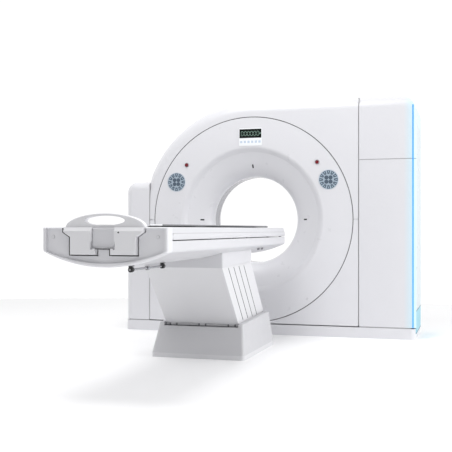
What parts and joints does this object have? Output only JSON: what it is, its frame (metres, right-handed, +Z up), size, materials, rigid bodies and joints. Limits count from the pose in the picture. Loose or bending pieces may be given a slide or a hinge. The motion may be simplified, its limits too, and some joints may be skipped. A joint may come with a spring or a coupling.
{
  "type": "ct scanner",
  "caption": "Computed tomography scanner: tilting gantry with a wide patient bore between floor stands, and a patient table whose cradle slides in on a lifting pedestal.",
  "frame": {"origin": "on the floor, straight below the isocentre of the bore", "axes": "+Z up, +Y along the bore from the table into the gantry, +X right as seen from the table"},
  "size_m": [2.386, 3.338, 1.872],
  "materials": {
    "cover_white": "satin paint",
    "round_cover_white": "satin paint",
    "table_white": "satin paint",
    "slat_white": "satin paint",
    "bore_window": "clear film",
    "side_cyan": "satin",
    "strip_blue": "lit",
    "display_white": "gloss",
    "display_black": "gloss",
    "control_grey": "membrane",
    "button_red": "gloss",
    "laser_glass": "smoked",
    "cradle_grey": "carbon laminate",
    "frame_paint": "powder coat",
    "frame_cast": "cast",
    "bright_steel": "ground",
    "contact_brass": "polished",
    "black_plastic": "moulded"
  },
  "bodies": {
    "floor": {"plinth_skirt": "cover_white", "floor_plate": "frame_paint", "stand_frames": "frame_paint", "tilt_bearings": "bright_steel", "tilt_drive": "frame_paint", "power_unit": "frame_paint", "left_stand_cover": "cover_white", "upper_column_cover": "cover_white", "lower_column_cover": "cover_white", "column_light_strip": "strip_blue", "column_side_panels": "side_cyan", "base_frame": "frame_paint", "base_cover": "table_white", "lift_drive": "frame_paint", "base_pivot_shafts": "bright_steel"},
    "gantry": {"upper_front_cover": "cover_white", "lower_front_cover": "cover_white", "rear_covers": "cover_white", "front_round_cover": "round_cover_white", "laser_windows": "laser_glass", "rear_round_cover": "round_cover_white", "bore_liner": "bore_window", "display_bezel": "display_white", "display_window": "display_black", "control_panels": "control_grey", "tilt_frame": "frame_cast", "bearing_outer_race": "bright_steel"},
    "left_button": {"left_stop_button": "button_red"},
    "right_button": {"right_stop_button": "button_red"},
    "rotor": {"rotor_drum": "frame_cast", "bearing_inner_race": "bright_steel", "xray_tube": "frame_cast", "collimator": "contact_brass", "detector_arc": "frame_cast", "high_voltage_generator": "frame_cast", "tube_cooler": "frame_cast", "data_unit": "frame_cast"},
    "front_arm": {"front_lift_arm": "frame_paint"},
    "rear_arm": {"rear_lift_arm": "frame_paint"},
    "foot_panel": {"foot_side_panel": "slat_white"},
    "slat_1": {"side_slat_1": "slat_white"},
    "slat_2": {"side_slat_2": "slat_white"},
    "slat_3": {"side_slat_3": "slat_white"},
    "gantry_panel": {"gantry_side_panel": "slat_white"},
    "table": {"table_body": "table_white", "side_rail_covers": "table_white", "foot_end_cover": "table_white", "table_frame": "frame_paint", "cradle_support": "frame_paint", "cradle_drive": "frame_paint", "lift_head": "frame_paint", "head_cover": "table_white", "head_pivot_shafts": "bright_steel", "accessory_rail": "bright_steel", "rail_brackets": "black_plastic"},
    "cradle": {"cradle": "cradle_grey", "cradle_carriage": "frame_paint", "handle_panel": "table_white"},
    "lever": {"release_lever": "table_white"}
  },
  "joints": [
    {"name": "gantry_tilt", "type": "hinge", "parent": "floor", "child": "gantry", "pos_m": [0, 0, 0.92], "axis": [1, 0, 0], "range_deg": [-30, 30]},
    {"name": "rotor_spin", "type": "hinge", "parent": "gantry", "child": "rotor", "pos_m": [0, 0, 0.92], "axis": [0, 1, 0], "continuous": true},
    {"name": "lift", "type": "hinge", "parent": "floor", "child": "front_arm", "pos_m": [0, -1.28, 0.232], "axis": [-1, 0, 0], "range_deg": [-38.5, 0]},
    {"name": "rear_arm_swing", "type": "hinge", "parent": "floor", "child": "rear_arm", "pos_m": [0, -0.98, 0.232], "axis": [-1, 0, 0], "range_deg": [-38.5, 0]},
    {"name": "foot_panel_swing", "type": "hinge", "parent": "floor", "child": "foot_panel", "pos_m": [0, -1.456, 0.21], "axis": [-1, 0, 0], "range_deg": [-38.5, 0]},
    {"name": "table_level", "type": "hinge", "parent": "front_arm", "child": "table", "pos_m": [0, -1.6586, 0.63096], "axis": [-1, 0, 0], "range_deg": [0, 38.5]},
    {"name": "slat_1_swing", "type": "hinge", "parent": "floor", "child": "slat_1", "pos_m": [0, -1.321, 0.212], "axis": [-1, 0, 0], "range_deg": [-38.5, 0]},
    {"name": "slat_2_swing", "type": "hinge", "parent": "floor", "child": "slat_2", "pos_m": [0, -1.194, 0.212], "axis": [-1, 0, 0], "range_deg": [-38.5, 0]},
    {"name": "slat_3_swing", "type": "hinge", "parent": "floor", "child": "slat_3", "pos_m": [0, -1.067, 0.212], "axis": [-1, 0, 0], "range_deg": [-38.5, 0]},
    {"name": "gantry_panel_swing", "type": "hinge", "parent": "floor", "child": "gantry_panel", "pos_m": [0, -0.94, 0.212], "axis": [-1, 0, 0], "range_deg": [-38.5, 0]},
    {"name": "cradle_slide", "type": "slide", "parent": "table", "child": "cradle", "axis": [0, 1, 0], "range_m": [0, 1.5]},
    {"name": "release_pull", "type": "hinge", "parent": "cradle", "child": "lever", "pos_m": [0, -2.979, 0.844], "axis": [-1, 0, 0], "range_deg": [0, 10], "stiffness_Nm_per_rad": 2},
    {"name": "left_stop_press", "type": "slide", "parent": "gantry", "child": "left_button", "axis": [0, 1, 0], "range_m": [0, 0.004], "stiffness_N_per_m": 900, "springref_m": -0.002},
    {"name": "right_stop_press", "type": "slide", "parent": "gantry", "child": "right_button", "axis": [0, 1, 0], "range_m": [0, 0.004], "stiffness_N_per_m": 900, "springref_m": -0.002}
  ],
  "couplings": [
    {"joint": "rear_arm_swing", "follows": "lift", "ratio": 1},
    {"joint": "foot_panel_swing", "follows": "lift", "ratio": 1},
    {"joint": "slat_1_swing", "follows": "lift", "ratio": 1},
    {"joint": "slat_2_swing", "follows": "lift", "ratio": 1},
    {"joint": "slat_3_swing", "follows": "lift", "ratio": 1},
    {"joint": "gantry_panel_swing", "follows": "lift", "ratio": 1},
    {"joint": "table_level", "follows": "lift", "ratio": -1}
  ]
}
